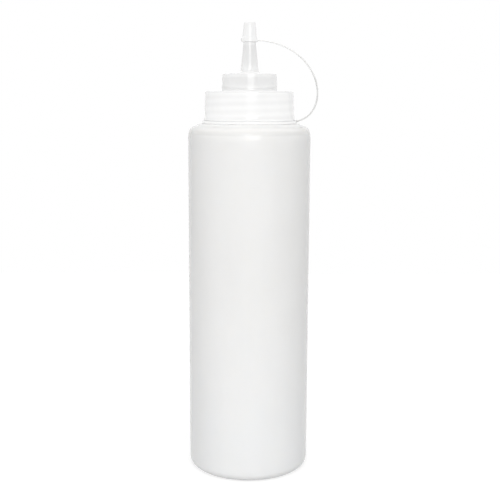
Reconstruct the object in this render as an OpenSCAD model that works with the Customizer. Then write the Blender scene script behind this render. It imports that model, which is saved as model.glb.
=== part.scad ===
// Squeeze bottle for sauce, with a screw cap, a cone nozzle and a tip cap on a tether.
// Three mouldings: the bottle, the screw cap with its nozzle, and the tether with its tip cap.
// Millimetres. The bottle stands on Z = 0 with its axis on Z, and the tether leaves toward +X.

/* [Bottle] */
// Outside diameter of the bottle's body
body_d = 70; // [67:0.5:90]
// Height of the flat land on top of the shoulder
body_h = 202; // [120:1:260]
// Thickness of the bottle's wall
wall = 1.1; // [0.8:0.1:1.6]
// Radius of the rounded corner at the foot
base_corner_r = 4.7; // [3:0.1:7]
// Width of the flat ring that the bottle stands on
foot_w = 3.5; // [2:0.1:6]
// Height of the bevel just inside the standing ring
foot_bevel = 1.4; // [0.8:0.1:2.5]
// Height of the hollow under the base, at its centre
pushup_h = 3.2; // [2.6:0.1:6]
// Radius of the rounded shoulder
shoulder_r = 5.4; // [3:0.1:6.5]
// Slope of the shoulder above its rounding, in degrees
shoulder_tilt = 23; // [15:1:35]

/* [Neck] */
// Outside diameter of the neck between its threads
neck_d = 44.6; // [40:0.2:47]
// Thickness of the neck's wall
neck_wall = 1.3; // [1:0.1:1.6]
// Rounding of the neck's rim
rim_r = 0.4; // [0.2:0.1:0.5]

/* [Thread] */
// Rise of the thread in one turn
thread_pitch = 4.23; // [3.8:0.01:5]
// How far each thread stands out from its wall
thread_depth = 1.2; // [0.9:0.05:1.4]
// Width of a thread along the axis, at its wall
thread_root_w = 1.7; // [1.4:0.05:1.9]
// Width of a thread along the axis, at its crest
thread_crest_w = 0.8; // [0.5:0.05:1]
// Room between a thread's crest and the wall that it faces
thread_gap = 0.3; // [0.2:0.05:0.5]
// Room between the flanks of the two threads when the cap is tight
thread_play = 0.25; // [0.15:0.05:0.35]
// Bare wall left beyond each end of a thread
thread_margin = 0.9; // [0.6:0.1:1.2]

/* [Screw cap] */
// Height of the collar, from its foot to the deck
collar_h = 16.5; // [14:0.1:22]
// Thickness of the collar's wall just under the deck
collar_wall = 1.35; // [1:0.05:2]
// How much wider the collar's radius gets down to its lip
collar_draft = 0.4; // [0:0.05:1]
// How much further the lip at the foot flares out
lip_flare = 0.35; // [0:0.05:0.6]
// Height of the flared lip
lip_h = 3.4; // [2:0.1:5]
// Bevel that guides the collar over the neck
lead_in = 0.6; // [0.3:0.1:0.8]
// Rounding of the collar's top edge
collar_edge_r = 0.8; // [0.3:0.1:1.2]
// Thickness of the deck over the neck
deck_t = 1.5; // [1.2:0.1:2.2]
// Room between the neck's rim and the deck when the cap is tight
seat_gap = 0.1; // [0.05:0.01:0.2]
// Depth of the sealing lip that goes into the neck
seal_depth = 2.6; // [1.5:0.1:4]
// Thickness of the sealing lip
seal_t = 1.2; // [0.8:0.1:1.6]
// Room between the sealing lip and the neck's bore
seal_gap = 0.2; // [0.05:0.05:0.4]

/* [Raised step] */
// Diameter of the step where it stands on the deck
step_foot_d = 31.5; // [26:0.1:36]
// Diameter of the step at its top
step_top_d = 30.9; // [25.5:0.1:35.5]
// Height of the step above the deck
step_h = 9.7; // [6:0.1:16]
// Thickness of the step's wall
step_wall = 1.5; // [1.1:0.1:2]
// Thickness of the step's top
step_top_t = 2.3; // [1.2:0.1:3]
// Rounding of the step's top edge
step_edge_r = 0.5; // [0.2:0.1:0.9]

/* [Nozzle] */
// Length of the nozzle above the step
nozzle_h = 27.2; // [20:0.1:36]
// Diameter of the cone at the step, without its root fillet
nozzle_foot_d = 10.4; // [8.6:0.1:13]
// Diameter of the cone at its tip
nozzle_tip_d = 5.1; // [4.4:0.1:6]
// Thickness of the nozzle's wall
nozzle_wall = 1.15; // [0.8:0.05:1.5]
// Radius of the fillet between nozzle and step
nozzle_fillet_r = 2.6; // [1:0.1:3.5]

/* [Tether] */
// Room between the shoulder's land and the ring at rest
ring_float = 0.1; // [0.05:0.05:0.6]
// Thickness of the tether's ring
ring_t = 1.4; // [0.8:0.05:1.8]
// Radial width of the tether's ring
ring_w = 3; // [2.6:0.1:4]
// Room round the neck's thread inside the ring
ring_gap = 0.4; // [0.25:0.05:0.7]
// Room between the ring and the collar's foot
foot_gap = 0.1; // [0.05:0.01:0.2]
// Length of the block that the strap leaves the ring from
root_l = 1.3; // [0.9:0.1:2]
// Height that this block stands above the ring
root_rise = 0.4; // [0.2:0.05:0.8]
// Width of the strap
strap_w = 3; // [2:0.1:4]
// Thickness of the strap
strap_t = 0.75; // [0.5:0.05:1]
// Direction in which the strap leaves the tip cap, in degrees
strap_top_angle = -4; // [-12:1:6]
// How far the strap's top end keeps that direction
strap_top_reach = 35.8; // [30:0.1:42]
// Direction in which the strap leaves the ring, in degrees
strap_root_angle = 14.4; // [4:0.1:24]
// How far the strap's lower end keeps that direction
strap_root_reach = 20.5; // [18:0.1:28]

/* [Tip cap] */
// How far the tip cap reaches down over the nozzle
tip_cap_depth = 9.5; // [6:0.1:12]
// Thickness of the tip cap's wall
tip_cap_wall = 0.75; // [0.6:0.05:1.1]
// Thickness of the tip cap's top
tip_cap_top_t = 1; // [0.7:0.05:1.6]
// Room between the nozzle and the tip cap's wall
tip_cap_fit = 0.06; // [0.04:0.01:0.1]
// Room above the nozzle's tip inside the cap
tip_cap_room = 0.5; // [0.2:0.05:1]
// Rounding of the tip cap's top edge
tip_cap_edge_r = 0.6; // [0.2:0.05:0.65]
// Height of the thicker band at the tip cap's rim
band_h = 1.9; // [1:0.1:2.6]
// How far that band stands out from the cap's wall
band_t = 0.15; // [0.05:0.05:0.4]
// Radius of the round tab for the thumb
tab_r = 1.5; // [0.9:0.05:1.8]
// How far the thumb tab stands out from the band
tab_reach = 0.5; // [0.2:0.05:1]
// Width of the thumb tab
tab_w = 4; // [2.5:0.1:5]
// Length of the lug that the strap leaves the tip cap from
lug_l = 0.9; // [0.5:0.1:1.5]
// Height of the lug above the tip cap's rim
lug_rise = 0.6; // [0.3:0.1:1]

/* [Hidden] */
$fn = 96;

body_r = body_d / 2;
neck_r = neck_d / 2;
bore_r = neck_r - neck_wall;
thread_segs = 36;
arc_steps = 8;
strap_steps = 44;
sliver = 0.01;

// Heights from the table up
ring_z = body_h + ring_float;
collar_z = ring_z + ring_t + foot_gap;
deck_z = collar_z + collar_h;
neck_top = deck_z - deck_t - seat_gap;
step_z = deck_z + step_h;
nozzle_tip_z = step_z + nozzle_h;
cap_rim_z = nozzle_tip_z - tip_cap_depth;
cap_top_z = nozzle_tip_z + tip_cap_room + tip_cap_top_t;

// Radii that follow the neck
neck_crest_r = neck_r + thread_depth;
collar_in_r = neck_crest_r + thread_gap;
collar_crest_r = collar_in_r - thread_depth;
collar_top_r = collar_in_r + collar_wall;
collar_foot_r = collar_top_r + collar_draft + lip_flare;
ring_in_r = neck_crest_r + ring_gap;
ring_out_r = ring_in_r + ring_w;
seal_r = bore_r - seal_gap;
step_in_r = step_foot_d / 2 - step_wall;
land_r = ring_out_r + 1.2;

// Rounded shoulder: an arc, a slope and the flat land
shoulder_turn = 90 - shoulder_tilt;
shoulder_end_r = body_r - shoulder_r * (1 - cos(shoulder_turn));
shoulder_z = body_h - (shoulder_end_r - land_r) * tan(shoulder_tilt) - shoulder_r * sin(shoulder_turn);

// Cone of the nozzle: its radius at a height, outside and inside
nozzle_slope = (nozzle_foot_d - nozzle_tip_d) / 2 / nozzle_h;
nozzle_lean = atan(nozzle_slope);
function nozzle_r(z) = nozzle_foot_d / 2 - nozzle_slope * (z - step_z);
function nozzle_in_r(z) = nozzle_r(z) - nozzle_wall;
function cap_in_r(z) = nozzle_r(z) + tip_cap_fit;
function cap_out_r(z) = cap_in_r(z) + tip_cap_wall;

// Threads: where the middle of each ridge starts and ends, and how far the cap's lies below the neck's
thread_flat = thread_root_w / 2 + thread_margin;
flank = (thread_root_w - thread_crest_w) / 2 / thread_depth;
thread_drop = thread_root_w - flank * (thread_depth + thread_gap) + thread_play;
neck_thread_z = collar_z + lead_in + thread_flat;
neck_thread_end = neck_top - thread_flat;
collar_thread_z = collar_z + lead_in + thread_root_w / 2;
collar_thread_end = deck_z - deck_t - thread_flat;

// Ends of the strap, at the ring and at the tip cap
root_x = ring_out_r - (ring_out_r - collar_foot_r) / 2;
strap_root = [ring_out_r + root_l / 2, ring_z + ring_t + root_rise - strap_t / 2 - 0.05];
lug_x = cap_out_r(cap_rim_z) + band_t + lug_l;
strap_top = [lug_x, cap_rim_z + lug_rise + strap_t / 2];

function arc(cx, cy, r, a0, a1) =
    [for (i = [0:arc_steps]) let (a = a0 + (a1 - a0) * i / arc_steps) [cx + r * cos(a), cy + r * sin(a)]];

function bezier(p, t) = pow(1 - t, 3) * p[0] + 3 * t * pow(1 - t, 2) * p[1]
    + 3 * t * t * (1 - t) * p[2] + pow(t, 3) * p[3];
function bezier_way(p, t) = pow(1 - t, 2) * (p[1] - p[0]) + 2 * t * (1 - t) * (p[2] - p[1])
    + t * t * (p[3] - p[2]);

// Outline of the bottle's skin from the base's centre to the land, moved inward by t
function skin(t) = concat(
    [[0, pushup_h + t]],
    [[body_r - base_corner_r - foot_w - foot_bevel, foot_bevel + t]],
    [[body_r - base_corner_r - foot_w, t]],
    arc(body_r - base_corner_r, base_corner_r, base_corner_r - t, -90, 0),
    arc(body_r - shoulder_r, shoulder_z, shoulder_r - t, 0, shoulder_turn),
    [[land_r - t * tan(shoulder_tilt / 2), body_h - t]]
);

function backward(points) = [for (i = [len(points) - 1:-1:0]) points[i]];

module bottle_body() {
    color("whitesmoke") rotate_extrude() polygon(concat(
        skin(0),
        [[neck_r + rim_r, body_h], [neck_r, body_h + rim_r]],
        arc(neck_r - rim_r, neck_top - rim_r, rim_r, 0, 90),
        arc(bore_r + rim_r, neck_top - rim_r, rim_r, 90, 180),
        [[bore_r, body_h], [bore_r + wall, body_h - wall]],
        backward(skin(wall))
    ));
}

// One ridge along a helix, on a wall of radius wall_r, fading out over an eighth of a turn at each end
module helix(wall_r, crest_r, z0, z1, a0) {
    steps = round(thread_segs * (z1 - z0) / thread_pitch);
    fade = thread_segs / 8;
    inward = crest_r < wall_r;
    ring = [for (i = [0:steps])
        let (
            a = a0 + 360 * i / thread_segs,
            z = z0 + thread_pitch * i / thread_segs,
            f = min(1, (i + 0.6) / fade, (steps - i + 0.6) / fade),
            crest = wall_r + (crest_r - wall_r) * f,
            root_w = thread_root_w / 2 * (0.5 + 0.5 * f),
            crest_w = thread_crest_w / 2 * (0.5 + 0.5 * f)
        )
        each [
            [wall_r * cos(a), wall_r * sin(a), z - root_w],
            [crest * cos(a), crest * sin(a), z - crest_w],
            [crest * cos(a), crest * sin(a), z + crest_w],
            [wall_r * cos(a), wall_r * sin(a), z + root_w]
        ]];
    sides = [for (i = [0:steps - 1], k = [0:3])
        let (p = 4 * i + k, q = 4 * i + (k + 1) % 4)
        each [[p, q, q + 4], [p, q + 4, p + 4]]];
    last = 4 * steps;
    ends = [[0, 2, 1], [0, 3, 2], [last, last + 1, last + 2], [last, last + 2, last + 3]];
    faces = [for (f = concat(sides, ends)) inward ? [f[0], f[1], f[2]] : [f[0], f[2], f[1]]];
    polyhedron(points = ring, faces = faces, convexity = 6);
}

module neck_thread() {
    color("whitesmoke") helix(neck_r / cos(180 / thread_segs) + sliver, neck_crest_r,
        neck_thread_z, neck_thread_end, 0);
}

module collar_thread() {
    // Turned so that this ridge lies thread_drop below the neck's ridge all the way round
    color("white") helix(collar_in_r - sliver, collar_crest_r, collar_thread_z, collar_thread_end,
        360 * (collar_thread_z + thread_drop - neck_thread_z) / thread_pitch);
}

module screw_collar() {
    under = deck_z - deck_t;
    color("white") rotate_extrude() polygon(concat(
        [[collar_in_r + lead_in, collar_z], [collar_foot_r, collar_z]],
        [[collar_top_r + collar_draft, collar_z + lip_h]],
        arc(collar_top_r - collar_edge_r, deck_z - collar_edge_r, collar_edge_r, 0, 90),
        [[step_in_r, deck_z], [step_in_r, under]],
        [[seal_r - seal_t, under], [seal_r - seal_t, under - seal_depth]],
        [[seal_r - seal_t / 2, under - seal_depth], [seal_r, under - seal_depth + seal_t / 2]],
        [[seal_r, under], [collar_in_r, under], [collar_in_r, collar_z + lead_in]]
    ));
}

module raised_step() {
    foot_r = step_foot_d / 2;
    top_r = step_top_d / 2;
    color("gainsboro") rotate_extrude() polygon(concat(
        [[step_in_r, deck_z], [foot_r, deck_z]],
        arc(top_r - step_edge_r, step_z - step_edge_r, step_edge_r, 0, 90),
        [[nozzle_in_r(step_z), step_z], [nozzle_in_r(step_z), step_z - step_top_t]],
        [[top_r - step_wall - step_edge_r, step_z - step_top_t]],
        [[top_r - step_wall, step_z - step_top_t - step_edge_r]]
    ));
}

module nozzle() {
    fillet_x = nozzle_r(step_z + nozzle_fillet_r) + nozzle_fillet_r / cos(nozzle_lean);
    tip_round = nozzle_wall / 4;
    color("gainsboro") rotate_extrude() polygon(concat(
        [[nozzle_in_r(step_z), step_z]],
        arc(fillet_x, step_z + nozzle_fillet_r, nozzle_fillet_r, 270, 180 + nozzle_lean),
        [[nozzle_r(nozzle_tip_z - tip_round), nozzle_tip_z - tip_round]],
        [[nozzle_r(nozzle_tip_z) - tip_round, nozzle_tip_z]],
        [[nozzle_in_r(nozzle_tip_z), nozzle_tip_z]]
    ));
}

module tether_ring() {
    color("white") union() {
        difference() {
            translate([0, 0, ring_z]) cylinder(r = ring_out_r, h = ring_t);
            translate([0, 0, ring_z - 1]) cylinder(r = ring_in_r, h = ring_t + 2);
        }
        translate([root_x, -strap_w / 2, ring_z])
            cube([strap_root[0] - root_x, strap_w, ring_t + root_rise]);
    }
}

module tether_strap() {
    way = [strap_top,
        strap_top + strap_top_reach * [cos(strap_top_angle), sin(strap_top_angle)],
        strap_root + strap_root_reach * [cos(strap_root_angle), sin(strap_root_angle)],
        strap_root];
    // Points on one side of the middle line; both ends are cut upright to sit flat on their blocks
    function edge(side) = [for (i = [0:strap_steps])
        let (t = i / strap_steps, w = bezier_way(way, t), end = i == 0 || i == strap_steps,
            n = end ? [0, i == 0 ? 1 : -1] : [-w[1], w[0]] / norm(w))
        bezier(way, t) + side * strap_t / 2 * n];
    color("white") translate([0, strap_w / 2, 0]) rotate([90, 0, 0])
        linear_extrude(height = strap_w) polygon(concat(edge(1), backward(edge(-1))));
}

module tip_cap() {
    band_z = cap_rim_z + band_h;
    band_r = cap_out_r(cap_rim_z) + band_t;
    color("white") difference() {
        union() {
            rotate_extrude() polygon(concat(
                [[0, cap_rim_z], [band_r, cap_rim_z]],
                [[cap_out_r(band_z) + band_t, band_z], [cap_out_r(band_z + band_t), band_z + band_t]],
                arc(cap_out_r(cap_top_z) - tip_cap_edge_r, cap_top_z - tip_cap_edge_r, tip_cap_edge_r, 0, 90),
                [[0, cap_top_z]]
            ));
            translate([tab_r - band_r - tab_reach, tab_w / 2, cap_rim_z + tab_r]) rotate([90, 0, 0])
                cylinder(r = tab_r, h = tab_w);
            translate([band_r - tip_cap_wall, -strap_w / 2, cap_rim_z + lug_rise])
                cube([lug_x - band_r + tip_cap_wall, strap_w, strap_t]);
        }
        rotate_extrude() polygon([
            [0, cap_rim_z - 1], [cap_in_r(cap_rim_z - 1), cap_rim_z - 1],
            [cap_in_r(cap_top_z - tip_cap_top_t), cap_top_z - tip_cap_top_t], [0, cap_top_z - tip_cap_top_t]
        ]);
    }
}

bottle_body();
neck_thread();
screw_collar();
collar_thread();
raised_step();
nozzle();
tether_ring();
tether_strap();
tip_cap();
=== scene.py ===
# %% [markdown]
# # A squeeze bottle for sauce
# The bottle is three mouldings of natural polyethylene: the bottle, the screw cap with its
# nozzle, and the tether with its tip cap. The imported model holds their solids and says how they
# move. This file gives the three mouldings their finished shapes and their cloudy, waxy plastic.

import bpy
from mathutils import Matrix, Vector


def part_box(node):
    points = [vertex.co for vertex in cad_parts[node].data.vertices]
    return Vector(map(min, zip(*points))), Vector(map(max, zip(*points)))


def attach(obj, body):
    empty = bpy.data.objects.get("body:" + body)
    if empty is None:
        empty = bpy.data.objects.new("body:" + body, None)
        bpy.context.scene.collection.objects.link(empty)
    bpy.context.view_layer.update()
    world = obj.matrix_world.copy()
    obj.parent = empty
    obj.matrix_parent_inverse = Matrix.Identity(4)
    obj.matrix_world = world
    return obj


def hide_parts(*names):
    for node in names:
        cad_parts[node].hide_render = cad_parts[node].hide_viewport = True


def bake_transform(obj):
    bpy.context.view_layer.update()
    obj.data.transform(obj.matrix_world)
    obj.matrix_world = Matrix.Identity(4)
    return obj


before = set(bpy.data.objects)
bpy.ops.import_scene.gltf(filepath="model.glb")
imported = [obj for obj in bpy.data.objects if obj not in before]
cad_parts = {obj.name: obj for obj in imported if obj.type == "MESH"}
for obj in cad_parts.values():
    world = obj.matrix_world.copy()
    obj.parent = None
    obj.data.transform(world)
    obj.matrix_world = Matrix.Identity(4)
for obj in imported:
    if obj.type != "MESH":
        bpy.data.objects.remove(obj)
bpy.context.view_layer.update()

# %% Tools and units
import math

import bpy
import numpy as np
from mathutils import Euler, Vector

MM = 0.001
scene = bpy.context.scene
scene.view_settings.view_transform = "Standard"

# %% [markdown]
# ## The camera
# The camera stands half a metre in front of the bottle and a little above its shoulder, tilted
# down. Its place comes from fitting the bottle's outline, so that the edges of the body, which
# draw together toward the foot, do so here too. A turn of a fifth of a degree about the line of
# sight makes the bottle lean as it does in the photograph.

# %% The camera, first of all
CAMERA_AT = (0.0, -528.7, 215.2)
CAMERA_DOWN = 9.29
CAMERA_ROLL = 0.2157
CAMERA_YAW = -0.067
SENSOR = 36.0
LENS = 65.99

camera_data = bpy.data.cameras.new("camera")
camera_data.sensor_width = SENSOR
camera_data.lens = LENS
camera_data.clip_start = 0.01
camera = bpy.data.objects.new("camera", camera_data)
camera.location = [c * MM for c in CAMERA_AT]
look = Euler((math.radians(90 - CAMERA_DOWN), 0, math.radians(CAMERA_YAW)), "XYZ").to_matrix()
roll = Euler((0, 0, math.radians(CAMERA_ROLL)), "XYZ").to_matrix()
camera.rotation_euler = (look @ roll).to_euler()
scene.collection.objects.link(camera)
scene.camera = camera
print(f"the camera is {math.dist(CAMERA_AT, (0, 0, 0)):.0f} mm from the foot of the bottle")

# %% [markdown]
# ## The sizes
# The finished shapes repeat the sizes of the solids that they stand for, written in millimetres,
# as a mould maker would. The heights at which the nodes begin and end are read from the packed
# model itself, so that the two can't drift apart.

# %% Sizes of the bottle, the cap and the tether
BODY_R, LAND_Z, WALL = 35.0, 202.0, 1.1
FOOT_CORNER, FOOT_FLAT, FOOT_BEVEL, PUSHUP = 4.7, 3.5, 1.4, 3.2
SHOULDER_R, SHOULDER_TILT = 5.4, math.radians(23)
NECK_R, NECK_WALL, RIM_R = 22.3, 1.3, 0.4
PITCH, RIDGE_OUT, RIDGE_ROOT, RIDGE_CREST, RIDGE_PLAY = 4.23, 1.2, 1.7, 0.8, 0.25
COLLAR_GAP, COLLAR_WALL, COLLAR_DRAFT = 0.3, 1.35, 0.4
LIP_FLARE, LIP_H, LEAD_IN, COLLAR_EDGE = 0.35, 3.4, 0.6, 0.8
DECK_T, SEAL_DEPTH, SEAL_T, SEAL_GAP = 1.5, 2.6, 1.2, 0.2
STEP_FOOT_R, STEP_TOP_R, STEP_WALL, STEP_TOP_T, STEP_EDGE = 15.75, 15.45, 1.5, 2.3, 0.5
NOZZLE_FOOT_R, NOZZLE_TIP_R, NOZZLE_WALL, NOZZLE_FILLET = 5.2, 2.55, 1.15, 2.6
RING_T, RING_W, RING_GAP, STRAP_W, STRAP_T = 1.4, 3.0, 0.4, 3.0, 0.75
TIP_FIT, TIP_WALL, TIP_TOP_T, TIP_EDGE = 0.06, 0.75, 1.0, 0.6
BAND_H, BAND_T, TAB_R, TAB_REACH, TAB_W = 1.9, 0.15, 1.5, 0.5, 4.0
LUG_L, LUG_RISE = 0.9, 0.6


def heights(*nodes):
    """Lowest and highest Z of some CAD nodes together, in millimetres."""
    boxes = [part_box(node) for node in nodes]
    return [round(z / MM, 2) for z in (min(b[0].z for b in boxes), max(b[1].z for b in boxes))]


NECK_TOP = heights("bottle_body")[1]
COLLAR_Z, DECK_Z = heights("screw_collar")
STEP_Z = heights("raised_step")[1]
NOZZLE_Z = heights("nozzle")[1]
RIM_Z, TOP_Z = heights("tip_cap")
RING_Z = heights("tether_ring")[0]
print(f"neck top {NECK_TOP}, deck {DECK_Z}, step {STEP_Z}, nozzle {NOZZLE_Z}, top {TOP_Z} mm")

# %% Radii that follow the neck, and the nozzle's taper
LAND_BEYOND_RING = 1.2

CREST_R = NECK_R + RIDGE_OUT
COLLAR_IN_R = CREST_R + COLLAR_GAP
COLLAR_TOP_R = COLLAR_IN_R + COLLAR_WALL
COLLAR_FOOT_R = COLLAR_TOP_R + COLLAR_DRAFT + LIP_FLARE
BORE_R = NECK_R - NECK_WALL
SEAL_R = BORE_R - SEAL_GAP
HOLLOW_R = STEP_FOOT_R - STEP_WALL
RING_IN_R = CREST_R + RING_GAP
RING_OUT_R = RING_IN_R + RING_W
LAND_R = RING_OUT_R + LAND_BEYOND_RING
TAPER = (NOZZLE_FOOT_R - NOZZLE_TIP_R) / (NOZZLE_Z - STEP_Z)


def nozzle_r(z):
    """Outside radius of the nozzle's cone at a height."""
    return NOZZLE_FOOT_R - TAPER * (z - STEP_Z)


print(f"collar {2 * COLLAR_TOP_R:.1f} to {2 * COLLAR_FOOT_R:.1f} mm across, ring {2 * RING_OUT_R:.1f} mm")

# %% [markdown]
# ## How the mouldings are made
# Each moulding is round, so its skin is a lathe: a profile of radius and height, carried once
# round the axis on a grid of angles and profile points. The profile runs up the outside and
# back down the inside, so one sheet closes on itself and the wall has its real thickness. A
# thread, a parting line or a thumb tab is then a small change of the radius that depends on
# both the angle and the height, which keeps it part of the same unbroken skin.


# %% Grids into meshes
def add_piece(name, points, quads, tris=()):
    """A mesh object at the origin from points in millimetres and index arrays of its faces."""
    mesh = bpy.data.meshes.new(name)
    faces = [np.asarray(f) for f in (quads, tris) if len(f)]
    loops = np.concatenate([f.ravel() for f in faces])
    sizes = np.concatenate([np.full(len(f), f.shape[1]) for f in faces])
    mesh.vertices.add(len(points))
    mesh.vertices.foreach_set("co", (np.asarray(points) * MM).ravel())
    mesh.loops.add(len(loops))
    mesh.loops.foreach_set("vertex_index", loops)
    mesh.polygons.add(len(sizes))
    mesh.polygons.foreach_set("loop_start", np.concatenate([[0], np.cumsum(sizes)[:-1]]))
    mesh.polygons.foreach_set("use_smooth", np.ones(len(sizes), bool))
    mesh.update(calc_edges=True)
    mesh.validate()
    piece = bpy.data.objects.new(name, mesh)
    scene.collection.objects.link(piece)
    print(f"{name}: {len(points)} points, {int((sizes - 2).sum())} triangles")
    return piece


def grid_quads(rows, columns, wrap_rows=False):
    """Corner indices of the quads on a grid whose columns close on themselves."""
    row = np.arange(rows if wrap_rows else rows - 1)[:, None]
    column = np.arange(columns)[None, :]
    up, on = (row + 1) % rows, (column + 1) % columns
    corners = (row * columns + column, row * columns + on, up * columns + on, up * columns + column)
    return np.stack(corners, -1).reshape(-1, 4)


# %% The lathe
ON_AXIS = 1e-9


def lathe(name, profile, angles, shape=None):
    """Turns a profile of (radius, height) points round Z.

    Point = (r cos a, r sin a, z), where shape(r, a, z) may change r and z at each place. A
    profile that starts and ends on the axis closes in two poles, any other closes on itself.
    """
    profile = np.asarray(profile, float)
    poles = profile[0, 0] < ON_AXIS and profile[-1, 0] < ON_AXIS
    ring = profile[1:-1] if poles else profile
    r, a = np.meshgrid(ring[:, 0], angles, indexing="ij")
    z = np.repeat(ring[:, 1:2], len(angles), 1)
    if shape:
        r, z = shape(r, a, z)
    points = np.stack((r * np.cos(a), r * np.sin(a), z), -1).reshape(-1, 3)
    quads = grid_quads(len(ring), len(angles), wrap_rows=not poles)
    tris = ()
    if poles:
        n, last = len(angles), len(points) - len(angles)
        points = np.concatenate((points, [[0, 0, profile[0, 1]], [0, 0, profile[-1, 1]]]))
        here, following = np.arange(n), (np.arange(n) + 1) % n
        first_fan = np.stack((following, here, np.full(n, len(points) - 2)), -1)
        last_fan = np.stack((last + here, last + following, np.full(n, len(points) - 1)), -1)
        tris = np.concatenate((first_fan, last_fan))
    return add_piece(name, points, quads, tris)


def around(count, dense_at=(), spread=()):
    """Even angles round the axis, with extra ones close to each angle in dense_at."""
    even = np.arange(count) * 2 * np.pi / count
    extra = [(at + offset) % (2 * np.pi) for at in dense_at for offset in spread]
    return np.unique(np.round(np.concatenate((even, extra)), 6))


# %% Profiles: lines, arcs and a soft step
SHORTEST_FILLET, MOST_OF_A_SIDE, NEARLY_STRAIGHT = 1e-4, 0.49, 1.565


def ease(t):
    """0 below 0, 1 above 1, and 3 t squared - 2 t cubed between them."""
    t = np.clip(t, 0, 1)
    return t * t * (3 - 2 * t)


def line(start, end, step):
    """Points from start toward end, spaced about step apart, without the end."""
    start, end = np.asarray(start, float), np.asarray(end, float)
    count = max(1, int(round(np.linalg.norm(end - start) / step)))
    return start + (end - start) * (np.arange(count) / count)[:, None]


def arc(centre, radius, first, last, count):
    """Points on an arc about centre, from one angle in degrees to another, both ends included."""
    a = np.radians(np.linspace(first, last, count))
    return np.stack((centre[0] + radius * np.cos(a), centre[1] + radius * np.sin(a)), -1)


def rounded(corners, fine=0.5, coarse=4.0):
    """A profile through corners (r, z, rounding radius), each corner with its own fillet.

    A fillet of radius f starts f / tan(half the corner's angle) before the corner. fine is the
    spacing of points along a fillet and coarse the spacing along the straight stretches.
    """
    corners = np.asarray(corners, float)
    out = [corners[0, :2]]
    for before, here, after in zip(corners[:-2], corners[1:-1], corners[2:]):
        u, v = before[:2] - here[:2], after[:2] - here[:2]
        lu, lv = np.linalg.norm(u), np.linalg.norm(v)
        u, v = u / lu, v / lv
        half = math.acos(np.clip(u @ v, -1, 1)) / 2
        reach = min(here[2] / math.tan(half), MOST_OF_A_SIDE * lu, MOST_OF_A_SIDE * lv)
        if reach < SHORTEST_FILLET or half > NEARLY_STRAIGHT:
            out.append(here[:2])
            continue
        radius = reach * math.tan(half)
        middle = here[:2] + (u + v) / np.linalg.norm(u + v) * radius / math.sin(half)
        a0, a1 = (math.atan2(*(here[:2] + w * reach - middle)[::-1]) for w in (u, v))
        turn = (a1 - a0 + math.pi) % (2 * math.pi) - math.pi
        count = max(3, int(abs(turn) * radius / fine) + 3)
        out.extend(arc(middle, radius, math.degrees(a0), math.degrees(a0 + turn), count))
    out.append(corners[-1, :2])
    pieces = [line(p, q, coarse) for p, q in zip(out[:-1], out[1:])]
    return np.concatenate(pieces + [out[-1:]])


# %% [markdown]
# ## The thread
# The neck carries a ridge on a helix, and the collar has its partner inside. On the neck's skin
# the ridge is a function of angle and height: the nearest turn of the helix is found for each
# point, and the point is pushed out by how close it is to that turn. Both ends fade out over an
# eighth of a turn, as a cut thread does.

# %% A ridge on a helix
FADE_TURNS, FADE_BEYOND = 1 / 8, 0.06
THREAD_MARGIN = 0.9


def ridge(a, z, first, last):
    """Height of the ridge, from 0 to 1, at angle a and height z. Its middle climbs from first to last.

    u = (z - first) / pitch, moved to the nearest value that is a / 2 pi plus whole turns, counts
    turns from the start, and d = |z - first - pitch u| is the way along the axis to that turn.
    The flank is an eased fall from the crest's width to the root's, and the ends ease out as well.
    """
    u = np.round((z - first) / PITCH - a / (2 * np.pi)) + a / (2 * np.pi)
    d = np.abs(z - first - PITCH * u)
    flank = (RIDGE_ROOT / 2 - d) / (RIDGE_ROOT - RIDGE_CREST) * 2
    turns = (last - first) / PITCH
    ends = np.minimum(u + FADE_BEYOND, turns + FADE_BEYOND - u) / FADE_TURNS
    return ease(flank) * ease(ends)


RIDGE_BARE = THREAD_MARGIN + RIDGE_ROOT / 2
NECK_RIDGE = (COLLAR_Z + LEAD_IN + RIDGE_BARE, NECK_TOP - RIDGE_BARE)
FLANK = (RIDGE_ROOT - RIDGE_CREST) / 2 / RIDGE_OUT
DROP = RIDGE_ROOT - FLANK * (RIDGE_OUT + COLLAR_GAP) + RIDGE_PLAY
CAP_RIDGE = (COLLAR_Z + LEAD_IN + RIDGE_ROOT / 2, DECK_Z - DECK_T - RIDGE_BARE)
CAP_RIDGE_TURN = 2 * np.pi * (CAP_RIDGE[0] + DROP - NECK_RIDGE[0]) / PITCH
print(f"neck ridge: {(NECK_RIDGE[1] - NECK_RIDGE[0]) / PITCH:.2f} turns")

# %% [markdown]
# ## The bottle
# The bottle is blown in a mould of two halves. That leaves a faint line down both sides where
# the halves met, and a low bar across the base where they nipped the tube shut. The base is
# drawn up in the middle so that the bottle stands on a ring. The wall is about a millimetre.
#
# The profile goes up the outside, from the middle of the base over the shoulder and the neck to
# its rim, and comes back inside, one wall's thickness in. The shoulder starts softly: the body
# draws in by 0.15 mm just below the arc, so that the light dies away over a few millimetres
# there and doesn't stop at a line.

# %% Profile of the bottle
SHOULDER_TURN = math.pi / 2 - SHOULDER_TILT
SHOULDER_END = BODY_R - SHOULDER_R * (1 - math.cos(SHOULDER_TURN))
SLOPE_RISE = (SHOULDER_END - LAND_R) * math.tan(SHOULDER_TILT)
SHOULDER_Z = LAND_Z - SLOPE_RISE - SHOULDER_R * math.sin(SHOULDER_TURN)
SOFT_IN, SOFT_FROM, SOFT_DEEP, SOFT_TO = 0.15, -2.2, 0.6, 4.0
BEVEL_ROUND, RING_ROUND, SLOPE_ROUND = 1.2, 0.7, 1.0
SOFT_STRETCH, SOFT_STEP = 4, 0.4
ARC_GAP, FLAT_GAP = 0.3, 0.2
LAND_CUT = 2.4


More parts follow.
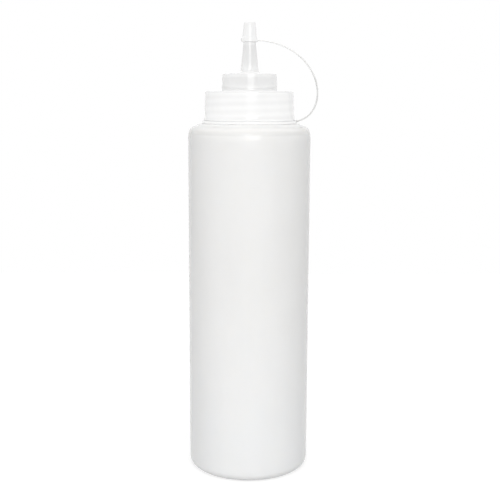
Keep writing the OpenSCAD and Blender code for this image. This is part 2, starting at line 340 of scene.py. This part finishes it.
def skin(t):
    """The bottle's skin moved inward by t, from the middle of the base to the shoulder's land.

    The shoulder doesn't start at once. The wall draws in by SOFT_IN times an eased rise and fall
    of the height above the arc's start: full at SOFT_DEEP, and none at SOFT_FROM and SOFT_TO.
    """
    foot = BODY_R - FOOT_CORNER
    slope_foot = SHOULDER_END - ARC_GAP
    slope_low = (slope_foot - LAND_R) * math.tan(SHOULDER_TILT)
    points = np.concatenate((
        rounded([(0, PUSHUP + t, 0), (foot - FOOT_FLAT - FOOT_BEVEL, FOOT_BEVEL + t, BEVEL_ROUND),
                 (foot - FOOT_FLAT, t, RING_ROUND), (foot - FLAT_GAP, t, 0)], coarse=1.2),
        arc((foot, FOOT_CORNER), FOOT_CORNER - t, -90, 0, 11),
        line((BODY_R - t, FOOT_CORNER + 1), (BODY_R - t, SHOULDER_Z - SOFT_STRETCH), 4),
        line((BODY_R - t, SHOULDER_Z - SOFT_STRETCH), (BODY_R - t, SHOULDER_Z), SOFT_STEP),
        arc((BODY_R - SHOULDER_R, SHOULDER_Z), SHOULDER_R - t, 0, math.degrees(SHOULDER_TURN), 15),
        rounded([(slope_foot - t * math.sin(SHOULDER_TILT),
                  LAND_Z - t * math.cos(SHOULDER_TILT) - slope_low, 0),
                 (LAND_R - t * math.tan(SHOULDER_TILT / 2), LAND_Z - t, SLOPE_ROUND),
                 (LAND_R - 2, LAND_Z - t, 0)], coarse=1),
    ))
    above = points[:, 1] - SHOULDER_Z
    rise = ease((above - SOFT_FROM) / (SOFT_DEEP - SOFT_FROM))
    fall = ease((above - SOFT_DEEP) / (SOFT_TO - SOFT_DEEP))
    drawn = rise * (1 - fall)
    return points - SOFT_IN * drawn[:, None] * (1, 0)


NECK_STEP, NECK_BARE = 0.15, 1.4
NECK_ROOT, NECK_ROOT_IN = 0.5, 1.2
neck_outside = rounded([
    (LAND_R - LAND_CUT, LAND_Z, 0), (NECK_R, LAND_Z, NECK_ROOT), (NECK_R, LAND_Z + NECK_BARE, 0),
], coarse=1)
neck_inside = rounded([
    (BORE_R, LAND_Z + 2, 0), (BORE_R, LAND_Z - WALL, NECK_ROOT_IN), (LAND_R - LAND_CUT, LAND_Z - WALL, 0),
], coarse=1)
bottle_profile = np.concatenate((
    skin(0), neck_outside,
    line((NECK_R, LAND_Z + NECK_BARE + 0.2), (NECK_R, NECK_TOP - RIM_R), NECK_STEP),
    arc((NECK_R - RIM_R, NECK_TOP - RIM_R), RIM_R, 0, 90, 5),
    arc((BORE_R + RIM_R, NECK_TOP - RIM_R), RIM_R, 90, 180, 5),
    line((BORE_R, NECK_TOP - RIM_R - 1), (BORE_R, LAND_Z + 3), 2),
    neck_inside, skin(WALL)[::-1],
))
print(f"bottle profile: {len(bottle_profile)} points")

# %% The bottle's mesh
SEAM_OUT, SEAM_HALF, SEAM_FROM = 0.07, 0.35, 2
PINCH_DEEP, PINCH_HALF, PINCH_LONG, PINCH_FADE = 0.35, 0.55, 21.0, 2
ON_WALL = 1e-6


def bottle_shape(r, a, z):
    """Adds the neck's ridge, the mould's parting lines at both sides and the bar across the base.

    With y = |r sin a|, the distance from the plane where the mould's halves met, the parting line
    is exp(-(y / its half width) squared). The bar has the fourth power, which gives it a flat top.
    """
    away = np.abs(r * np.sin(a))
    outside_rows = len(skin(0))
    row = np.arange(len(r))[:, None]
    on_neck = (np.abs(r - NECK_R) < ON_WALL) & (z > LAND_Z + 1)
    thread = np.where(on_neck, ridge(a, z, *NECK_RIDGE), 0)
    outside = (r > BORE_R + WALL) & (row < outside_rows)
    seam = SEAM_OUT * np.exp(-(away / SEAM_HALF) ** 2) * outside * (z > SEAM_FROM)
    under = (z < PUSHUP + WALL / 2) & (row < outside_rows // 2)
    bar = np.exp(-((away / PINCH_HALF) ** 4)) * np.clip((PINCH_LONG - r) / PINCH_FADE, 0, 1) * under
    return r + RIDGE_OUT * thread + seam, z - PINCH_DEEP * bar


SEAM_SPREAD = [k * 0.004 for k in (-5, -3.5, -2.4, -1.4, -0.6, 0.6, 1.4, 2.4, 3.5, 5)]
bottle = lathe("bottle", bottle_profile, around(200, (0, np.pi), SEAM_SPREAD), bottle_shape)
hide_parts("bottle_body", "neck_thread")
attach(bottle, "bottle")

# %% [markdown]
# ## The screw cap
# Collar, deck, step and nozzle come out of one mould, so they are one skin here as well. Its
# profile goes up the outside, over the nozzle's tip and back down inside, through the nozzle's
# bore and the hollow step, round the lip that seals in the neck, and down the threaded wall. The
# third number of each corner below is its rounding in millimetres.

# %% Profile and mesh of the screw cap
UNDER = DECK_Z - DECK_T
cap_outside = rounded([
    (COLLAR_IN_R + LEAD_IN + 0.4, COLLAR_Z, 0), (COLLAR_FOOT_R, COLLAR_Z, 0.1),
    (COLLAR_TOP_R + COLLAR_DRAFT, COLLAR_Z + LIP_H, 6), (COLLAR_TOP_R, DECK_Z, COLLAR_EDGE),
    (STEP_FOOT_R, DECK_Z, 0.45), (STEP_TOP_R, STEP_Z, STEP_EDGE),
    (nozzle_r(STEP_Z), STEP_Z, NOZZLE_FILLET), (NOZZLE_TIP_R, NOZZLE_Z, 0.3),
    (NOZZLE_TIP_R - NOZZLE_WALL / 2, NOZZLE_Z, 0),
], fine=0.3, coarse=2)
cap_inside = rounded([
    (NOZZLE_TIP_R - NOZZLE_WALL / 2 - 0.1, NOZZLE_Z, 0), (NOZZLE_TIP_R - NOZZLE_WALL, NOZZLE_Z, 0.2),
    (nozzle_r(STEP_Z) - NOZZLE_WALL, STEP_Z - STEP_TOP_T, 0.5),
    (STEP_TOP_R - STEP_WALL, STEP_Z - STEP_TOP_T, 0.7), (HOLLOW_R, UNDER, 0.4),
    (SEAL_R - SEAL_T, UNDER, 0.3), (SEAL_R - SEAL_T, UNDER - SEAL_DEPTH, 0.3),
    (SEAL_R, UNDER - SEAL_DEPTH, 0.5), (SEAL_R, UNDER, 0.1), (COLLAR_IN_R, UNDER, 0.3),
    (COLLAR_IN_R, UNDER - 1, 0),
], fine=0.3, coarse=2)
cap_wall = line((COLLAR_IN_R, UNDER - 1.1), (COLLAR_IN_R, COLLAR_Z + LEAD_IN), NECK_STEP)
cap_foot = [(COLLAR_IN_R, COLLAR_Z + LEAD_IN), (COLLAR_IN_R + LEAD_IN, COLLAR_Z)]


def cap_shape(r, a, z):
    """Adds the collar's inside ridge, which fills the neck's thread from the other side."""
    on_wall = np.abs(r - COLLAR_IN_R) < ON_WALL
    thread = np.where(on_wall, ridge((a - CAP_RIDGE_TURN) % (2 * np.pi), z, *CAP_RIDGE), 0)
    return r - RIDGE_OUT * thread, z


cap_profile = np.concatenate((cap_outside, cap_inside, cap_wall, cap_foot))
screw_cap = lathe("screw_cap", cap_profile, around(192), cap_shape)
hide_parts("screw_collar", "collar_thread", "raised_step", "nozzle")
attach(screw_cap, "screw_cap")

# %% [markdown]
# ## The tether
# The ring under the collar, the strap and the tip cap are one soft moulding. They are three
# pieces here because the ring stays with the bottle's neck while the tip cap pulls off. The
# strap is a fixed curve between them, attached to neither body.

# %% The ring, which settles closer to the shoulder and the collar than the solids' clearance
RING_EDGE, SETTLED = 0.06, 0.06
ring_low, ring_high = RING_Z - SETTLED, RING_Z + RING_T + SETTLED
ring_section = rounded([
    (RING_IN_R + RING_W / 2, ring_low, 0), (RING_OUT_R, ring_low, RING_EDGE),
    (RING_OUT_R, ring_high, RING_EDGE), (RING_IN_R, ring_high, RING_EDGE),
    (RING_IN_R, ring_low, RING_EDGE), (RING_IN_R + RING_W / 2 - 0.2, ring_low, 0),
], fine=0.1, coarse=1)
neck_ring = lathe("neck_ring", ring_section, around(160))
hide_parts("tether_ring")
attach(neck_ring, "tether")

# %% The strap: a rounded bar carried along a curve
ROOT_OUT, ROOT_RISE = 0.65, 0.35
RING_OVERLAP, RING_DROP, CAP_OVERLAP = 0.6, 0.25, 1.5
STRAP_CORNER, ROOT_SWELL, ROOT_SWELL_LONG = 0.2, 0.75, 0.028
ROOT_X, ROOT_Z = RING_OUT_R + ROOT_OUT, RING_Z + RING_T + ROOT_RISE - STRAP_T / 2
LUG_X = nozzle_r(RIM_Z) + TIP_FIT + TIP_WALL + BAND_T + LUG_L
LUG_Z = RIM_Z + LUG_RISE + STRAP_T / 2
ROOT_ANGLE, ROOT_REACH = math.radians(14.4), 20.5
TOP_ANGLE, TOP_REACH = math.radians(-4), 35.8


def strap_curve(count):
    """Middle line of the strap from the ring to the tip cap, and its direction, as (x, z) rows.

    With p, q the ends and h, k a point ahead of each, the cubic curve is
    (1 - t)^3 p + 3 t (1 - t)^2 h + 3 t^2 (1 - t) k + t^3 q. A short straight run goes on into the
    ring and into the tip cap.
    """
    ends = np.array([(ROOT_X, ROOT_Z), (LUG_X, LUG_Z)])
    handles = ends + [(ROOT_REACH * math.cos(ROOT_ANGLE), ROOT_REACH * math.sin(ROOT_ANGLE)),
                      (TOP_REACH * math.cos(TOP_ANGLE), TOP_REACH * math.sin(TOP_ANGLE))]
    t = np.linspace(0, 1, count)[:, None]
    curve = ((1 - t) ** 3 * ends[0] + 3 * t * (1 - t) ** 2 * handles[0]
             + 3 * t * t * (1 - t) * handles[1] + t ** 3 * ends[1])
    into_ring = line((RING_OUT_R - RING_OVERLAP, ROOT_Z - RING_DROP), ends[0], 0.3)
    into_cap = line(ends[1], (LUG_X - CAP_OVERLAP, LUG_Z), 0.3)[1:]
    path = np.concatenate((into_ring, curve, into_cap))
    way = np.gradient(path, axis=0)
    return path, way / np.linalg.norm(way, axis=1)[:, None]


def bar_section(count, half_w, half_t, corner):
    """A rounded rectangle as rows of (across, through), corner by corner."""
    corners = []
    for k, (sx, sy) in enumerate(((1, 1), (-1, 1), (-1, -1), (1, -1))):
        centre = (sx * (half_w - corner), sy * (half_t - corner))
        corners.append(arc(centre, corner, 90 * k, 90 * k + 90, count))
    return np.concatenate(corners)


strap_path, strap_way = strap_curve(150)
along = np.linspace(0, 1, len(strap_path))
section = bar_section(4, STRAP_W / 2, STRAP_T / 2, STRAP_CORNER)
thick = 1 + ROOT_SWELL * np.exp(-(along / ROOT_SWELL_LONG) ** 2)
side = np.stack((-strap_way[:, 1], strap_way[:, 0]), -1)
strap_xz = strap_path[:, None, :] + side[:, None, :] * (section[None, :, 1] * thick[:, None])[..., None]
strap_y = np.broadcast_to(section[:, 0], strap_xz.shape[:2])
strap_points = np.stack((strap_xz[..., 0], strap_y, strap_xz[..., 1]), -1).reshape(-1, 3)
rows, columns = strap_xz.shape[:2]
strap_ends = np.array([np.arange(columns)[::-1], np.arange(columns) + (rows - 1) * columns])
strap_quads = grid_quads(rows, columns)
strap_fans = [[end[0], end[k], end[k + 1]] for end in strap_ends for k in range(1, columns - 1)]
strap = add_piece("strap", strap_points, strap_quads, strap_fans)
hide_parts("tether_strap")
LUG_X * MM
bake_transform(strap)

# %% [markdown]
# ## The tip cap
# A small cup, about ten millimetres long, that follows the nozzle's taper and grips it. It has a
# thicker band at its rim and a round tab for the thumb on the side away from the strap.

# %% Profile and mesh of the tip cap
def cup_r(z):
    """Outside radius of the tip cap's wall at a height."""
    return nozzle_r(z) + TIP_FIT + TIP_WALL


INSIDE_TOP = TOP_Z - TIP_TOP_T
BAND_Z, BAND_SLOPE = RIM_Z + BAND_H, 0.4
tip_profile = rounded([
    (0, TOP_Z, 0), (cup_r(TOP_Z), TOP_Z, TIP_EDGE), (cup_r(BAND_Z), BAND_Z + BAND_SLOPE, 0.5),
    (cup_r(BAND_Z) + BAND_T, BAND_Z, 0.3), (cup_r(RIM_Z) + BAND_T, RIM_Z, 0.2),
    (nozzle_r(RIM_Z) + TIP_FIT, RIM_Z, 0.1), (nozzle_r(INSIDE_TOP) + TIP_FIT, INSIDE_TOP, 0.3),
    (0, INSIDE_TOP, 0),
], fine=0.1, coarse=0.2)
TAB_Z, TAB_SIDE, TAB_FADE = RIM_Z + TAB_R, 0.5, 1.2


def tip_shape(r, a, z):
    """Swells the outside into the thumb tab, on the side away from the strap.

    The swell is its full reach times sqrt(1 - ((z - middle) / tab's radius) squared), a half
    circle in height, times an eased fall across its width.
    """
    outside = (r >= cup_r(z) - TIP_WALL / 3) & (r > 1)
    height = np.sqrt(np.clip(1 - ((z - TAB_Z) / TAB_R) ** 2, 0, 1))
    across = np.abs(r * np.sin(a))
    window = ease((TAB_W / 2 + TAB_SIDE - across) / TAB_FADE) * (np.cos(a) < 0)
    reach = cup_r(RIM_Z) + BAND_T + TAB_REACH - r
    swell = reach * height * window
    return r + np.where(outside, np.maximum(swell, 0), 0), z


tip_cup = lathe("tip_cup", tip_profile[::-1], around(120), tip_shape)
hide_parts("tip_cap")
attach(tip_cup, "tip_cap")

# %% [markdown]
# ## Shader maths in Python
# A material's pattern is easier to read as a formula than as a heap of nodes. This small class
# wraps one output of a node, and each operator on it adds the Math node that does the sum.


# %% A socket that does arithmetic
BLACK = (0.0, 0.0, 0.0, 1.0)
WHITE = (1.0, 1.0, 1.0, 1.0)


class Value:
    """An output socket of a node tree, with + - * and / as Math nodes.

    Value(tree, None) stands for the tree alone, to make the first nodes with.
    """

    def __init__(self, tree, socket):
        self.tree, self.socket = tree, socket

    def node(self, kind, settings=None, **values):
        """Adds a node, makes its settings, fills or links its inputs and returns it.

        An input goes by its label, with _ for a space, or by its number: i3 is input 3.
        """
        made = self.tree.nodes.new(kind)
        for key, value in (settings or {}).items():
            setattr(made, key, value)
        for key, value in values.items():
            target = made.inputs[int(key[1:]) if key[1:].isdigit() else key.replace("_", " ")]
            if isinstance(value, Value):
                self.tree.links.new(value.socket, target)
            else:
                target.default_value = value
        return made

    def out(self, node, name=0):
        """One output of a node, wrapped."""
        return Value(self.tree, node.outputs[name])

    def maths(self, operation, *values):
        """A Math node's operation on values, which are numbers or wrapped sockets."""
        inputs = {f"i{k}": v for k, v in enumerate(values)}
        return self.out(self.node("ShaderNodeMath", {"operation": operation}, **inputs))

    def __add__(self, other):
        return self.maths("ADD", self, other)

    def __radd__(self, other):
        return self.maths("ADD", other, self)

    def __sub__(self, other):
        return self.maths("SUBTRACT", self, other)

    def __rsub__(self, other):
        return self.maths("SUBTRACT", other, self)

    def __mul__(self, other):
        return self.maths("MULTIPLY", self, other)

    def __rmul__(self, other):
        return self.maths("MULTIPLY", other, self)

    def __truediv__(self, other):
        return self.maths("DIVIDE", self, other)

    def between(self, low, high):
        """0 below low, 1 above high and a smooth rise between them."""
        made = self.node("ShaderNodeMapRange", {"interpolation_type": "SMOOTHSTEP"},
                         i0=self, i1=low, i2=high, i3=0.0, i4=1.0)
        return self.out(made)


def mix_colour(factor, first, second):
    """A colour between two others, by a factor that may vary over the surface."""
    made = factor.node("ShaderNodeMix", {"data_type": "RGBA"}, i0=factor, i6=first, i7=second)
    return factor.out(made, 2)


# %% [markdown]
# ## Natural polyethylene
# Polyethylene without colour is cloudy: light goes in, scatters about a millimetre and comes out
# again, and subsurface scattering gives the walls that waxy softness. Clear transmission through
# so many walls would be slow and full of bright specks, so what shows through them is a change of
# tone instead, worked out from the place on the piece: the collar, backed by the neck, is nearly
# white with a faint line where each turn of the thread lies, and the hollow step and nozzle are
# greyer. The same tones also hold painted light and painted shade by height: paler bands where
# corners, gaps and the lower body would be shaded, and greyer ones where the lamps fall bright.
# Faint flow marks break up the sheen.


# %% The plastic
CLOUD_SCALE, FLOW_SCALE, GRAIN_SCALE = 55.0, 260.0, 900.0
FLOW_STRETCH = (1.0, 1.0, 0.18)
FLOW_ROUGH, GRAIN_ROUGH, FLOW_SHARE = 0.04, 0.05, 0.7
MARK_STRENGTH = 0.35
REFRACTION = 1.51
SCATTER_TINT = (1.0, 0.97, 0.93)


def polyethylene(name, colour, roughness, scatter_mm, soft, cloud, grain, tone=None):
    """Cloudy plastic. cloud is how far the colour drifts, grain the height of the surface marks in mm.

    Colour = colour * (1 - cloud * (1 - noise)) * tone(x, y, z), with the place in millimetres.
    Roughness = roughness + 0.04 (flow - 0.5) + 0.05 (grain - 0.5), where both are noises, and the
    first is drawn out along the height. soft is the share of light that scatters under the skin,
    about scatter_mm deep, and the rest is thrown back evenly, as by chalk.
    """
    material = bpy.data.materials.new(name)
    material.use_nodes = True
    tree = material.node_tree
    shader = tree.nodes["Principled BSDF"]
    start = Value(tree, None)
    place = start.out(start.node("ShaderNodeTexCoord"), "Object")
    stretched = start.out(start.node("ShaderNodeMapping", i0=place, i3=FLOW_STRETCH))
    broad = start.out(start.node("ShaderNodeTexNoise", i0=stretched, Scale=CLOUD_SCALE, Detail=2.0))
    fine = start.out(start.node("ShaderNodeTexNoise", i0=place, Scale=GRAIN_SCALE, Detail=3.0))
    flow = start.out(start.node("ShaderNodeTexNoise", i0=stretched, Scale=FLOW_SCALE, Detail=3.0))
    dark = [c * (1 - cloud) for c in colour] + [1.0]
    tint = mix_colour(broad.between(0.3, 0.7), dark, (*colour, 1.0))
    if tone:
        split = start.node("ShaderNodeSeparateXYZ", i0=place)
        tint = mix_colour(tone(*(start.out(split, axis) / MM for axis in "XYZ")), BLACK, tint)
    rough = roughness + FLOW_ROUGH * (flow - 0.5) + GRAIN_ROUGH * (fine - 0.5)
    marks = FLOW_SHARE * flow + (1 - FLOW_SHARE) * fine
    bump = start.node("ShaderNodeBump", Strength=MARK_STRENGTH, Distance=grain * MM, Height=marks)
    tree.links.new(tint.socket, shader.inputs["Base Color"])
    tree.links.new(rough.socket, shader.inputs["Roughness"])
    tree.links.new(bump.outputs[0], shader.inputs["Normal"])
    for name_of_input, value in (("IOR", REFRACTION), ("Diffuse Roughness", 1.0),
                                 ("Subsurface Weight", soft), ("Subsurface Radius", SCATTER_TINT),
                                 ("Subsurface Scale", scatter_mm * MM)):
        shader.inputs[name_of_input].default_value = value
    return material


# %% Painted light and shade on the bottle and the tether
# Painted light and shade: on the bottle's lower body, shoulder and land, on the ring's foot and down the
# strap's loop.
FOOT_PAINTED_LIGHT, ARC_PAINTED_SHADE, SLOPE_PAINTED_SHADE, LAND_PAINTED_LIGHT = 0.095, 0.09, 0.055, 0.02
RING_FOOT_PAINTED_LIGHT, LOOP_PAINTED_SHADE = 0.09, 0.18


def bottle_painted_shading(x, y, z):
    """Painted light and shade on the bottle: painted light toward the foot, painted shade on the
    shoulder, and painted light on the land under the ring.
    """
    # Painted light: the body is paler toward the foot.
    body = 1 - FOOT_PAINTED_LIGHT * z.between(15, 135)
    # Painted shade: greyer over the shoulder's arc, and less so on its slope.
    arc_ends = z.between(LAND_Z - 4.2, LAND_Z - 2.8)
    shoulder = ARC_PAINTED_SHADE * z.between(SHOULDER_Z, SHOULDER_Z + 1.2) - (ARC_PAINTED_SHADE - SLOPE_PAINTED_SHADE) * arc_ends
    # Painted light on the land just under the ring.
    return body - shoulder + (SLOPE_PAINTED_SHADE + LAND_PAINTED_LIGHT) * z.between(LAND_Z - 2, LAND_Z - 0.5)


def tether_painted_light(x, y, z):
    """Painted light on the tether: the ring's foot is paler, lifting the shade where it rests on the
    shoulder, and the rest of the ring and the tip cap are evenly a little darker.
    """
    # Painted light: the ring's foot is paler than the rest of the ring and the tip cap.
    return 1 - RING_FOOT_PAINTED_LIGHT * z.between(RING_Z + 0.2, RING_Z + 0.6)


def strap_painted_shade(x, y, z):
    """Painted shade on the strap: full tone from the tip cap's rim up, and painted shade growing down the
    side of its loop to the deck and below.
    """
    # Painted shade, growing down the strap's loop below the tip cap's rim.
    return 1 - LOOP_PAINTED_SHADE * (1 - z.between(DECK_Z, RIM_Z))


# %% What shows through the screw cap, and painted light and shade on it
# Painted shade under the deck's rim and on the collar's lip. Painted light in the step's corner on the
# deck, at the collar's foot, at the nozzle's root and round the tip cap's rim.
COLLAR_TONE, THREAD_LINE, RIM_PAINTED_SHADE, LIP_PAINTED_SHADE = 0.92, 0.04, 0.09, 0.035
STEP_LOSS, STEP_TOP_GAIN, NOZZLE_LOSS = 0.125, 0.045, 0.14
CORNER_PAINTED_LIGHT, ROOT_PAINTED_LIGHT, BRIM_PAINTED_LIGHT = 0.075, 0.1, 0.16


def cap_tone_and_painted_light(x, y, z):
    """Tone of the screw cap: even on the collar, less above the deck, with a line for each thread turn.

    The neck's ridge lies where (z - its start) / pitch = atan2(y, x) / 2 pi plus whole turns, so
    the cosine of 2 pi times the difference is 1 on it and -1 between two turns. A line of painted
    shade runs just under the deck's rim, and the lip at the collar's foot is a little greyer with
    painted shade. The step is greyer where it is hollow, between the deck and its thick top, and so
    is the nozzle above it. The corner on the deck, the collar's very foot and the nozzle's root
    carry painted light against the shade in those corners, and so does the nozzle in a band at the
    tip cap's rim.
    """
    turns = (z - NECK_RIDGE[0]) / PITCH - x.maths("ARCTAN2", y, x) / (2 * math.pi)
    wave = x.maths("COSINE", turns * (2 * math.pi))
    on_thread = z.between(NECK_RIDGE[0] - 2.5, NECK_RIDGE[0] - 0.5) * (1 - z.between(UNDER - 2, UNDER))
    above_deck = z.between(DECK_Z, DECK_Z + 0.1)
    # Painted shade: a darker line just under the deck's rim.
    rim = z.between(DECK_Z - 1.2, DECK_Z - 0.6) * (1 - above_deck)
    # Painted shade: the lip at the collar's foot is greyer.
    lip = 1 - z.between(COLLAR_Z + 2, COLLAR_Z + 5)
    hollow = z.between(DECK_Z, DECK_Z + 4)
    thick_top = z.between(STEP_Z - STEP_TOP_T - 0.3, STEP_Z - STEP_TOP_T + 0.7)
    cone = z.between(STEP_Z + 1, STEP_Z + 6)
    # Painted light in the corner where the step meets the deck, and at the collar's foot.
    step_corner = above_deck * (1 - z.between(DECK_Z + 0.6, DECK_Z + 1.8))
    corners = step_corner + 1 - z.between(COLLAR_Z + 0.2, COLLAR_Z + 1.2)
    lines = THREAD_LINE * on_thread * (0.5 + 0.5 * wave) + RIM_PAINTED_SHADE * rim + LIP_PAINTED_SHADE * lip
    greyer = STEP_LOSS * hollow - STEP_TOP_GAIN * thick_top * (1 - cone)
    # Painted light on the nozzle round the tip cap's rim.
    at_brim = z.between(RIM_Z - 2.5, RIM_Z - 0.3) * (1 - z.between(RIM_Z + 0.5, RIM_Z + 3))
    # Painted light at the nozzle's root.
    at_root = z.between(STEP_Z, STEP_Z + 0.3) * (1 - z.between(STEP_Z + 1, STEP_Z + 3))
    paler = CORNER_PAINTED_LIGHT * corners + BRIM_PAINTED_LIGHT * at_brim + ROOT_PAINTED_LIGHT * at_root
    return COLLAR_TONE - lines - greyer - (NOZZLE_LOSS - STEP_LOSS) * cone + paler


# %% The four finishes
BOTTLE_COLOUR = (0.942, 0.932, 0.913)
CAP_COLOUR = (0.93, 0.93, 0.928)
TETHER_COLOUR = (0.89, 0.89, 0.888)
# The strap's colour is a darker copy of the tether's: painted shade for a strap seen edge-on.
STRAP_SHADED_COLOUR = (0.82, 0.817, 0.81)
bottle_plastic = polyethylene("cloudy_bottle", BOTTLE_COLOUR, 0.17, 2.0, 1.0, 0.015, 0.04, bottle_painted_shading)
cap_plastic = polyethylene("clear_cap", CAP_COLOUR, 0.15, 1.2, 0.2, 0.01, 0.03, cap_tone_and_painted_light)
tether_plastic = polyethylene("soft_tether", TETHER_COLOUR, 0.17, 1.0, 0.2, 0.01, 0.03, tether_painted_light)
strap_shaded_plastic = polyethylene("thin_strap_shaded", STRAP_SHADED_COLOUR, 0.3, 0.6, 0.2, 0.02, 0.03, strap_painted_shade)
for piece, finish in ((bottle, bottle_plastic), (screw_cap, cap_plastic), (neck_ring, tether_plastic),
                      (strap, strap_shaded_plastic), (tip_cup, tether_plastic)):
    piece.data.materials.clear()
    piece.data.materials.append(finish)
    print(f"{piece.name}: {finish.name}")

# %% [markdown]
# ## The studio
# Five soft lights stand round the bottle: a small box in front, a little to the right of the
# camera, a card low in front that fills the body, a weak one at the left, a boom overhead, and a
# weak one behind that keeps the back of the bottle from falling dark. Only the small box shows in
# the gloss, because the wide ones would lie on the waxy walls as patches. It stands above the
# body, so it draws the streak on the shoulder and the bright lines on the step and the nozzle,
# and leaves the body clear.
#
# What the camera sees behind the bottle, and what mirrors in the gloss, is plain white. That is
# done by asking what kind of ray is looking, and not by letting more light fall on the bottle.


# %% Lights
def soft_light(name, at, aim, width, height, power, in_gloss=False):
    """A rectangle of even light at a point, facing another, with its size in metres."""
    data = bpy.data.lights.new(name, "AREA")
    data.shape, data.size, data.size_y, data.energy = "RECTANGLE", width, height, power
    light = bpy.data.objects.new(name, data)
    light.location = at
    light.rotation_euler = (Vector(aim) - Vector(at)).to_track_quat("-Z", "Y").to_euler()
    light.visible_glossy = in_gloss
    scene.collection.objects.link(light)
    print(f"{name}: {power} W from {width} by {height} m")


soft_light("small_box", (0.13, -1.25, 0.53), (0.0, 0.0, 0.2), 0.6, 0.44, 3.2, in_gloss=True)
soft_light("low_card", (0.0, -0.9, 0.05), (0.0, 0.0, 0.03), 0.4, 0.1, 2.4)
soft_light("left_light", (-1.3, -0.3, 0.4), (0.0, 0.0, 0.13), 0.9, 1.1, 1.6)
soft_light("boom_light", (0.05, -0.45, 1.25), (0.0, 0.0, 0.2), 0.6, 0.6, 5.0)
soft_light("back_light", (0.0, 1.3, 0.45), (0.0, 0.0, 0.13), 0.9, 0.7, 2.4)

# %% The room
ROOM_LEVEL = 0.6


def looked_at(tree):
    """1 for a ray from the camera, a mirror image or clear plastic, 0 for light that fills a surface."""
    start = Value(tree, None)
    path = start.node("ShaderNodeLightPath")
    camera_ray, glossy_ray, through_ray = (start.out(path, f"Is {kind} Ray")
                                           for kind in ("Camera", "Glossy", "Transmission"))
    direct = camera_ray + glossy_ray + through_ray
    return direct.maths("MINIMUM", direct, 1.0)


world = bpy.data.worlds.new("room")
scene.world = world
world.use_nodes = True
room = world.node_tree
room_light = room.nodes["Background"]
room_light.inputs["Color"].default_value = WHITE
level = ROOM_LEVEL + (1 - ROOM_LEVEL) * looked_at(room)
room.links.new(level.socket, room_light.inputs["Strength"])
print(f"the room is white to the camera and {ROOM_LEVEL} of that to the bottle")

# %% The floor
FLOOR_HALF, FLOOR_COLOUR, FLOOR_GLOW = 0.6, 0.35, 0.7
floor_mesh = bpy.data.meshes.new("floor")
floor_corners = [(x * FLOOR_HALF, y * FLOOR_HALF, 0) for x, y in ((-1, -1), (1, -1), (1, 1), (-1, 1))]
floor_mesh.from_pydata(floor_corners, [], [(0, 1, 2, 3)])
floor = bpy.data.objects.new("floor", floor_mesh)
scene.collection.objects.link(floor)
floor_paint = bpy.data.materials.new("floor_paint")
floor_paint.use_nodes = True
paint = floor_paint.node_tree
matt = paint.nodes["Principled BSDF"]
matt.inputs["Base Color"].default_value = (FLOOR_COLOUR, FLOOR_COLOUR, FLOOR_COLOUR, 1.0)
matt.inputs["Roughness"].default_value = 0.9
matt.inputs["Emission Strength"].default_value = FLOOR_GLOW
glow = mix_colour(looked_at(paint), BLACK, WHITE)
paint.links.new(glow.socket, matt.inputs["Emission Color"])
floor_mesh.materials.append(floor_paint)
